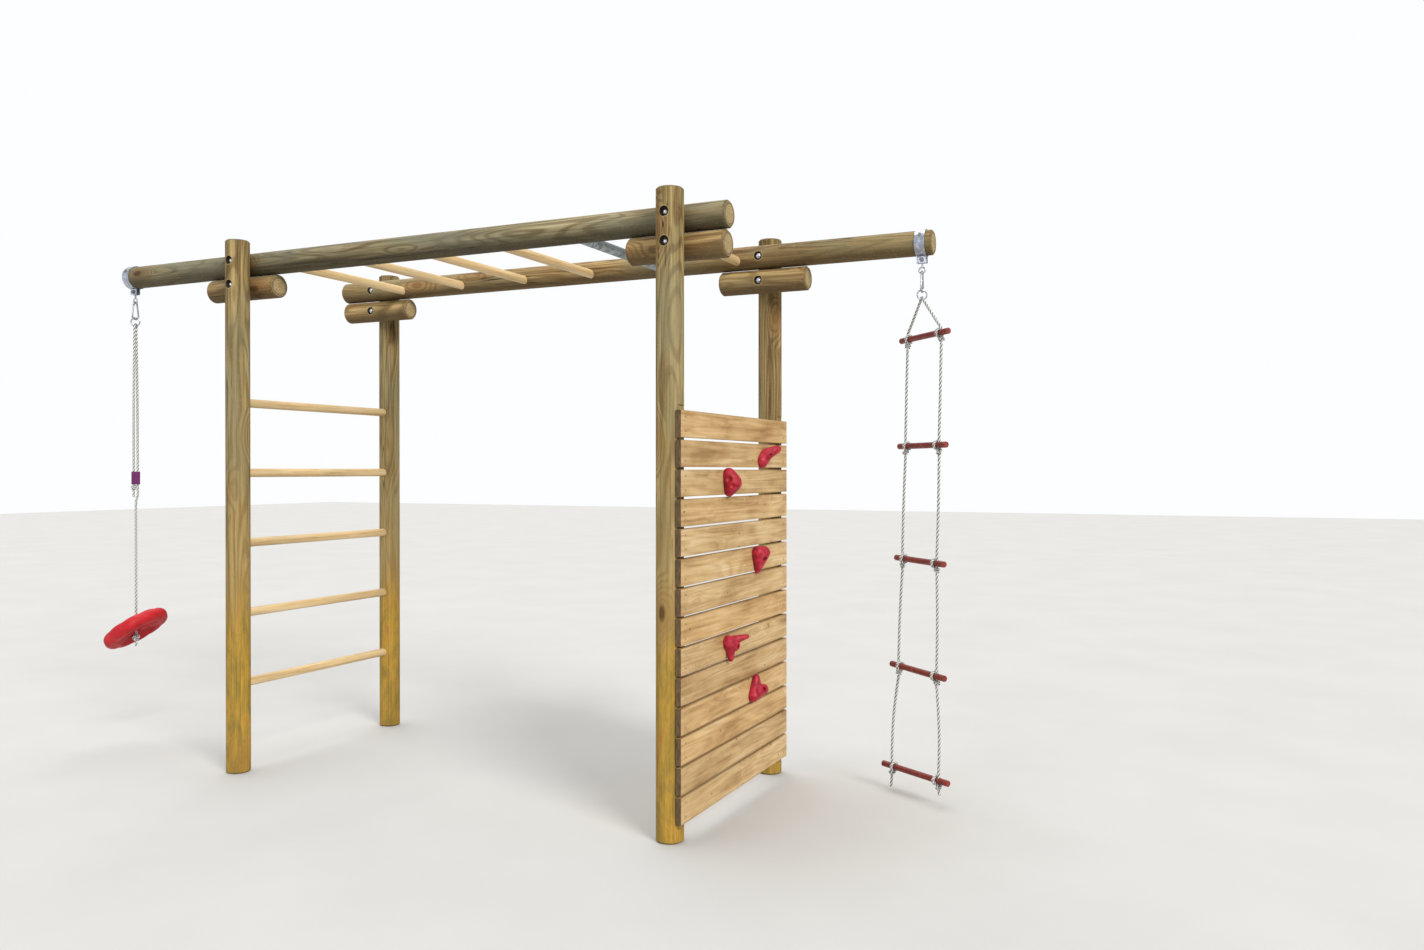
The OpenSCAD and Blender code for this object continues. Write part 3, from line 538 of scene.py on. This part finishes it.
def strand_tube(path, d, closed=False):
    """Vertices, faces and crest values of three-strand rope of diameter d along evenly spaced points."""
    p = np.array(path, float)
    if closed:
        p = p[:-1]
    n = len(p)
    tangents = np.roll(p, -1, axis=0) - np.roll(p, 1, axis=0) if closed else np.gradient(p, axis=0)
    tangents /= np.linalg.norm(tangents, axis=1)[:, None]
    start = np.cross(tangents[0], (0.31, 0.52, 0.80))
    normal = start / np.linalg.norm(start)
    step = np.linalg.norm(p[1] - p[0])
    turn = 2 * math.pi * step / (LAY * d)
    if closed:
        turn = 2 * math.pi / 3 * max(1, round(3 * turn * n / (2 * math.pi))) / n
    sides = np.arange(STRAND_SIDES) * 2 * math.pi / STRAND_SIDES
    crest = np.abs(np.cos(1.5 * sides)) ** 0.75
    reach = d / 2 * (1 - GROOVE_DEPTH + GROOVE_DEPTH * crest)
    verts, crests = [], []
    for i in range(n):
        t = tangents[i]
        normal = normal - t * (normal @ t)
        normal /= np.linalg.norm(normal)
        side = np.cross(t, normal)
        a = sides + turn * i
        ring = p[i] + reach[:, None] * (np.cos(a)[:, None] * normal + np.sin(a)[:, None] * side)
        verts.append(ring)
        crests.append(crest)
    verts = np.concatenate(verts)
    crests = np.concatenate(crests)
    k = STRAND_SIDES
    faces = []
    for i in range(n if closed else n - 1):
        j = (i + 1) % n
        for s in range(k):
            u = (s + 1) % k
            faces.append((i * k + s, i * k + u, j * k + u, j * k + s))
    if not closed:
        for end, out in ((0, -tangents[0]), (n - 1, tangents[-1])):
            verts = np.vstack([verts, p[end] + out * d * 0.12])
            crests = np.append(crests, 0.5)
            hub = len(verts) - 1
            for s in range(k):
                u = (s + 1) % k
                edge = (end * k + s, end * k + u)
                faces.append((hub, edge[1], edge[0]) if end == 0 else (hub, edge[0], edge[1]))
    return verts, faces, crests


def rope_piece(name, tubes, material):
    """One mesh object of several rope tubes, smooth shaded, with the crest attribute."""
    verts, faces, crests = [], [], []
    for v, f, c in tubes:
        base = sum(len(x) for x in verts)
        verts.append(v)
        crests.append(c)
        faces.extend(tuple(i + base for i in face) for face in f)
    mesh = bpy.data.meshes.new(name)
    mesh.from_pydata(np.concatenate(verts).tolist(), [], faces)
    attribute = mesh.attributes.new("crest", "FLOAT", "POINT")
    attribute.data.foreach_set("value", np.concatenate(crests).astype(np.float32))
    mesh.polygons.foreach_set("use_smooth", [True] * len(mesh.polygons))
    mesh.materials.append(material)
    mesh.validate()
    piece = bpy.data.objects.new(name, mesh)
    bpy.context.scene.collection.objects.link(piece)
    return piece


def knot_path(middle, size, d, turn=0.0):
    """A tight overhand knot of outer radius size, as a closed loop about its middle."""
    reach = (size - d / 2) / 3.0
    t = np.linspace(0, 2 * math.pi, 60, endpoint=False)
    x = np.sin(t) + 2 * np.sin(2 * t)
    y = np.cos(t) - 2 * np.cos(2 * t)
    z = -1.9 * np.sin(3 * t)
    c, s = math.cos(turn), math.sin(turn)
    points = np.stack([c * x - s * z, y, s * x + c * z], axis=1) * reach + np.array(middle)
    return resample(points, rope_step(d), closed=True)


def coil_path(middle, axis, radius, turns, width, start=0.0):
    """Turns of rope wound round a bar that runs along axis."""
    axis = np.array(axis, float)
    up = np.array((0.0, 0.0, 1.0))
    side = np.cross(axis, up)
    side /= np.linalg.norm(side)
    t = np.linspace(0, 1, int(24 * turns) + 1)
    a = start + 2 * math.pi * turns * t
    offset = (t - 0.5) * width
    round_bar = radius * (np.cos(a)[:, None] * side + np.sin(a)[:, None] * up)
    return np.array(middle) + round_bar + offset[:, None] * axis


def turned(points, yaw, place):
    """Points in millimetres in a hanging chain's own directions, moved to the row frame in metres."""
    c, s = math.cos(math.radians(yaw)), math.sin(math.radians(yaw))
    top = Vector((place[0], place[1], 0))
    return [Vector((c * x - s * y, s * x + c * y, z)) * MM + top for x, y, z in points]


def bight(d, ring_low):
    """Half turn of a rope of diameter d over the ring's lowest point."""
    wire_r, gap, steps = 3.0, 0.5, 6
    r = wire_r + gap + d / 2
    angles = [math.pi * i / steps for i in range(steps + 1)]
    return [(0, -r * math.cos(a), ring_low + r * math.sin(a)) for a in angles]


RING_LOW = 1985.0


# ---------- the swing's ropes ----------

SWING_ROPE_D = 12.0
SWING_YAW = 30
STRAND = [(9, 0, 1240), (9, 0, 1310), (8, 2, 1420), (6, 6, 1600), (3, 8, 1800), (0, 9, 1950)]
STRAND_FOOT = [(0, 0, 1150), (0, 0, 1154), (1.2, 0, 1162), (4.5, 0, 1174), (7.8, 0, 1186), (9, 0, 1196)]
RETURN_END = 1238.0
STOPPER_R = 12.0
SEAT_KNOT_DROP = 0.042
SEAT_LEAN = 35
SEAT_LEAN_YAW = -74


def make_swing_ropes(rope):
    ring_low, ring_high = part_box("swing_ring")
    place = (ring_low + ring_high) / 2
    d = SWING_ROPE_D * MM
    up = [(-x, -y, z) for x, y, z in STRAND[1:]]
    route = [(-9, 0, RETURN_END)] + up + bight(SWING_ROPE_D, RING_LOW) + STRAND[::-1] + STRAND_FOOT[::-1]
    route = resample(turned(route[::-1], SWING_YAW, place), rope_step(d))
    upper = rope_piece("swing_rope_strands", [strand_tube(route, d)], rope)

    knot_middle = turned([(-9, 0, RETURN_END - STOPPER_R)], SWING_YAW, place)[0]
    tail = [(-9, 0, RETURN_END - 14), (-9.5, 0.5, RETURN_END - 34), (-10.5, 1, RETURN_END - 57)]
    tail = turned(tail, SWING_YAW, place)
    stopper = rope_piece("swing_stopper_knot", [
        strand_tube(knot_path(knot_middle, 15 * MM, 11 * MM, 0.4), 11 * MM, closed=True),
        strand_tube(resample(tail, rope_step(d)), 11.5 * MM),
    ], rope)

    lower_route = [(0, 0, z) for z in (1149.7, 1080, 980, 880, 780, 680, 600, 537)]
    lower_route = resample(turned(lower_route, 0, place), rope_step(d))
    lower = rope_piece("swing_rope_single", [strand_tube(lower_route, d)], rope)

    seat_middle = (sum(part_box("swing_disc_seat"), Vector()) / 2).z
    knot_place = Vector((place.x, place.y, seat_middle - SEAT_KNOT_DROP))
    knot_tail = [knot_place + Vector(v) * MM for v in ((0, 0, -8), (1, -1, -22), (3, -2, -40))]
    seat_knot = rope_piece("seat_knot_tied", [
        strand_tube(knot_path(knot_place, 18.5 * MM, d, 0.2), d, closed=True),
        strand_tube(resample(knot_tail, rope_step(d)), d),
    ], rope)

    for piece, body, node in (
        (upper, "swing_line", "swing_rope_upper"),
        (stopper, "swing_line", "swing_rope_upper"),
        (lower, "swing_tail", "swing_rope_lower"),
        (seat_knot, "swing_tail", "swing_seat_knot"),
    ):
        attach(piece, body)
        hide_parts(node)


# ---------- the rope ladder's ropes ----------

LADDER_ROPE_D = 12.0
KNOT_R = 13.5
KNOT_DROP = 26.0
ROPE_RUNG_R = 12.0
ROPE_HALF_GAP = 130.0
RUNG_Z = [1840, 1405, 945, 505, 95]
RUNG_YAW = [-46, -46, -45, -41, -31]
RUNG_DRIFT = [8, 0, -10, -18, -28]
ROPE_BOW = [0, 1, 3, 4, 9]
ROPE_STEPS = 4
TAILS = {-1: 58.0, 1: 30.0}
LEG = [(130, 1827), (130, 1850), (124, 1864), (95, 1894), (60, 1931), (26, 1967)]
HANDS = {-1: "left", 1: "right"}


def rope_hole(i, hand):
    """Where the rope on the given hand meets rung i, in millimetres from the chain's axis."""
    yaw = math.radians(RUNG_YAW[i])
    reach = hand * ROPE_HALF_GAP
    return np.array((RUNG_DRIFT[i] + reach * math.cos(yaw), reach * math.sin(yaw), RUNG_Z[i]))


def side_route(i, hand):
    """From the knot under one rung, through the next rung, to the knot below it."""
    top = rope_hole(i - 1, hand) - (0, 0, KNOT_DROP + KNOT_R + 0.3)
    low = rope_hole(i, hand) + (0, 0, ROPE_RUNG_R + 16)
    out = np.array((low[0], low[1], 0.0))
    out *= ROPE_BOW[i] / np.linalg.norm(out)
    points = []
    for k in range(ROPE_STEPS + 1):
        share = k / ROPE_STEPS
        points.append(top + share * (low - top) + math.sin(math.pi * share) * out)
    return points + [rope_hole(i, hand) - (0, 0, ROPE_RUNG_R + 1.5)]


def leg_route():
    """Both top legs as one rope: up from the first rung, over the ring and down to the rung's other end."""
    over = [(y, 0, z) for x, y, z in bight(LADDER_ROPE_D, RING_LOW)]
    points = [(-x, 0, z) for x, z in LEG] + over + [(x, 0, z) for x, z in LEG[::-1]]
    yaw = math.radians(RUNG_YAW[0])
    aside = RUNG_DRIFT[0] * np.array((math.cos(yaw), -math.sin(yaw), 0.0))
    leaned = []
    for p in points:
        lean = (RING_LOW - p[2]) / (RING_LOW - RUNG_Z[0])
        leaned.append(np.array(p, float) + max(0.0, min(lean, 1.0)) * aside)
    return leaned


def rung_lashing(i, hand, place, rope):
    """The knot under a rung and the turns of rope round it, as one piece."""
    d = LADDER_ROPE_D * MM
    thin = 9.0 * MM
    hole = Vector(rope_hole(i, hand)) * MM + Vector((place.x, place.y, 0))
    yaw = math.radians(RUNG_YAW[i])
    bar = np.array((math.cos(yaw), math.sin(yaw), 0.0))
    below = hole - Vector((0, 0, KNOT_DROP * MM))
    inner = np.array(hole) - hand * 13.0 * MM * bar
    wound = coil_path(inner, hand * bar, (ROPE_RUNG_R + 4.5) * MM, 2.25, 10.0 * MM, start=0.4 + i)
    tubes = [
        strand_tube(knot_path(below, 15 * MM, 10 * MM, 0.3 * hand + i), 10 * MM, closed=True),
        strand_tube(resample(wound, rope_step(thin)), thin),
    ]
    if i == len(RUNG_Z) - 1:
        down = Vector((0, 0, -MM))
        bend = Vector((hand * 3.0, -2.0, 0)) * MM
        half_way = below + TAILS[hand] * 0.5 * down + bend * 0.4
        tail = [below + 4 * down, half_way, below + TAILS[hand] * down + bend]
        tubes.append(strand_tube(resample(tail, rope_step(d)), d * 0.95))
    return rope_piece(f"rung_{i + 1}_lashing_{HANDS[hand]}", tubes, rope)


def make_ladder_ropes(rope):
    ring_low, ring_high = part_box("ladder_ring")
    place = (ring_low + ring_high) / 2
    d = LADDER_ROPE_D * MM
    for i in range(len(RUNG_Z)):
        body = "ladder_top" if i == 0 else f"ladder_step_{i + 1}"
        node = f"rope_ladder_ropes_{i + 1}"
        lashings = {hand: rung_lashing(i, hand, place, rope) for hand in (-1, 1)}
        if i == 0:
            runs = [("ladder_rope_legs", turned(leg_route(), RUNG_YAW[0], place), list(lashings.values()))]
        else:
            runs = [(f"ladder_rope_{i + 1}_{HANDS[h]}", turned(side_route(i, h), 0, place), [lashings[h]])
                    for h in (-1, 1)]
        for name, points, on_it in runs:
            path = resample(points, rope_step(d))
            cord = rope_piece(name, [strand_tube(path, d)], rope)
            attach(cord, body)
            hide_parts(node)
        for lashing in lashings.values():
            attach(lashing, body)
            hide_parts(node)


# ---------- seat and holds ----------

def make_seat(material):
    """The disc seat: a fat rolled rim with shallow lobes, ridges round a hub, and a flared hole."""
    low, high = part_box("swing_disc_seat")
    middle = (low + high) / 2
    rim_r, disc_r, hub_half = 0.030, 0.148, 0.015
    hole_r, flare_r, lobes = 0.008, 0.0195, 10
    around = 160

    def top(r):
        """Height of the upper face at radius r, from the seat's middle."""
        if r < flare_r:
            return hub_half * (r - hole_r) / (flare_r - hole_r)
        rise = min(max((r - 0.040) / 0.060, 0.0), 1.0)
        base = hub_half + (rim_r - hub_half) * rise * rise * (3 - 2 * rise)
        ridge = 0.0042 * math.sin((r - 0.030) / 0.0115 * math.pi) ** 2 if 0.030 < r < 0.099 else 0.0
        return base + ridge

    inner = [hole_r + (flare_r - hole_r) * k / 4 for k in range(5)]
    face = inner + [flare_r + (disc_r - rim_r - flare_r) * k / 64 for k in range(1, 65)]
    section = [(r, top(r)) for r in face]
    rim = np.linspace(0, math.pi, 22)[1:-1]
    section += [(disc_r - rim_r + rim_r * math.sin(a), rim_r * math.cos(a)) for a in rim]
    section += [(r, -top(r)) for r in face[::-1]][:-1]
    verts = []
    for k in range(around):
        a = 2 * math.pi * k / around
        for r, z in section:
            edge = min(max((r - 0.085) / 0.063, 0.0), 1.0)
            swell = 1 - 0.022 * edge * (0.5 - 0.5 * math.cos(lobes * a)) ** 2
            flatten = 1 - 0.10 * edge * (0.5 - 0.5 * math.cos(lobes * a)) ** 2
            verts.append((r * swell * math.cos(a), r * swell * math.sin(a), z * flatten))
    n = len(section)
    faces = []
    for k in range(around):
        here, there = k * n, (k + 1) % around * n
        faces += [(here + j, here + (j + 1) % n, there + (j + 1) % n, there + j) for j in range(n)]
    mesh = bpy.data.meshes.new("disc_seat_moulded")
    mesh.from_pydata(verts, [], faces)
    yaw = math.radians(SEAT_LEAN_YAW)
    lean = Matrix.Rotation(math.radians(SEAT_LEAN), 4, Vector((math.cos(yaw), math.sin(yaw), 0)))
    mesh.transform(Matrix.Translation(middle) @ lean)
    mesh.flip_normals()
    mesh.polygons.foreach_set("use_smooth", [True] * len(mesh.polygons))
    mesh.materials.append(material)
    seat = bpy.data.objects.new("disc_seat_moulded", mesh)
    bpy.context.scene.collection.objects.link(seat)
    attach(seat, "swing_seat")
    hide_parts("swing_disc_seat")


def make_hold(i, material):
    """A cast hold: the CAD lobes melted into one rounded, dimpled lump round its bolt seat."""
    node = f"climbing_hold_{i}"
    hold = bpy.data.objects.new(f"cast_hold_{i}", NODES[node].data.copy())
    bpy.context.scene.collection.objects.link(hold)
    hold.data.materials.clear()
    hold.data.materials.append(material)
    remesh = hold.modifiers.new("melt", "REMESH")
    remesh.mode = "VOXEL"
    remesh.voxel_size = 0.0021
    smooth = hold.modifiers.new("soften", "SMOOTH")
    smooth.factor = 0.5
    smooth.iterations = 6
    depsgraph = bpy.context.evaluated_depsgraph_get()
    soft = bpy.data.meshes.new_from_object(hold.evaluated_get(depsgraph))
    hold.modifiers.clear()
    hold.data = soft
    soft.polygons.foreach_set("use_smooth", [True] * len(soft.polygons))
    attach(hold, "frame")
    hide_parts(node)


# ---------- materials on the CAD nodes ----------

def dress(node, material):
    """Gives a CAD node one material in place of all its own."""
    mesh = NODES[node].data
    if not mesh.materials:
        mesh.materials.append(material)
    for k in range(len(mesh.materials)):
        mesh.materials[k] = material


def round_edges(node, width):
    """Rounds a CAD node's sharp edges by width, in metres."""
    bevel = NODES[node].modifiers.new("worn_edges", "BEVEL")
    bevel.width = width
    bevel.segments = 2
    bevel.limit_method = "ANGLE"
    bevel.angle_limit = math.radians(35)
    bevel.harden_normals = False


def dress_timber():
    for k, corner in enumerate(("front_left", "front_right", "back_left", "back_right")):
        post = f"post_{corner}"
        low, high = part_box(post)
        dress(post, log_material(f"{post}_wood", 2, (low + high) / 2, k + 1.0, STRAW, 0.5, foot=True))
        log = f"support_log_{corner}"
        low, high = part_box(log)
        dress(log, log_material(f"{log}_wood", 0, (low + high) / 2, k + 5.0, BROWN, 0.45))
    for k, (beam, tones) in enumerate((("beam_front", OLIVE), ("beam_back", BROWN))):
        low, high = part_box(beam)
        dress(beam, log_material(f"{beam}_wood", 0, (low + high) / 2, k + 10.0, tones, 0.7))
    rung = rung_material()
    for i in range(1, 6):
        dress(f"overhead_rung_{i}", rung)
        dress(f"end_ladder_rung_{i}", rung)
    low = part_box("climbing_wall_planks")[0]
    board_w, gap = 0.095, 0.009
    dress("climbing_wall_planks", plank_material(low.z - gap / 2, board_w + gap))
    round_edges("climbing_wall_planks", 0.0022)
    paint = painted_rung_material()
    for i in range(1, 6):
        dress(f"rope_ladder_rung_{i}", paint)
        round_edges(f"rope_ladder_rung_{i}", 0.0025)


def dress_metal():
    tube = zinc_material("galvanised_tube", (0.17, 0.20, 0.22), (0.37, 0.41, 0.42), 0.48, 60)
    dress("steel_overhead_rung", tube)
    bright = zinc_material("fastener_zinc", (0.50, 0.49, 0.52), (0.78, 0.77, 0.80), 0.26, 300, worn=0.2)
    for node in ("frame_bolts", "frame_nuts", "hold_bolts", "hold_tee_nuts"):
        dress(node, bright)
    # Dark zinc: dull plating on the small hardware, and on the frame washers also painted shade of the bolt
    # recesses.
    dull = zinc_material("dull_zinc_and_washer_shade", (0.115, 0.105, 0.115), (0.27, 0.26, 0.28), 0.42, 300, worn=0.3)
    for node in ("frame_washers", "clamp_bolts", "clamp_nuts", "clamp_screws"):
        dress(node, dull)
    dress("plank_screws", zinc_material("screw_zinc", (0.30, 0.235, 0.14), (0.46, 0.38, 0.24), 0.45, 300))
    dress("beam_clamps", zinc_material("clamp_zinc", (0.27, 0.31, 0.38), (0.55, 0.59, 0.66), 0.38, 85))
    round_edges("beam_clamps", 0.0008)
    hook = zinc_material("hook_zinc", (0.30, 0.31, 0.35), (0.60, 0.62, 0.68), 0.30, 260)
    for side in ("swing", "ladder"):
        for part in ("link", "hook", "hook_gate", "ring"):
            dress(f"{side}_{part}", hook)


def main():
    make_camera()
    # Rope crest colour, then the near-black painted shade of the grooves.
    rope = rope_material("rope", (0.70, 0.72, 0.71), (0.022, 0.026, 0.030))
    make_swing_ropes(rope)
    make_ladder_ropes(rope)
    make_studio()
    red = ((0.34, 0.005, 0.010), (0.52, 0.012, 0.018))
    make_seat(plastic_material("seat_plastic", *red, 0.56, (0.0006, 420)))
    crimson = ((0.19, 0.003, 0.012), (0.52, 0.022, 0.050))
    resin = plastic_material("hold_resin", *crimson, 0.46, (0.0012, 520), mottle=48.0)
    for i in range(1, 6):
        make_hold(i, resin)
    purple = ((0.075, 0.008, 0.065), (0.16, 0.024, 0.13))
    dress("swing_rope_adjuster", plastic_material("adjuster_plastic", *purple, 0.42, (0.0004, 300)))
    round_edges("swing_rope_adjuster", 0.0025)
    dress_timber()
    dress_metal()


main()
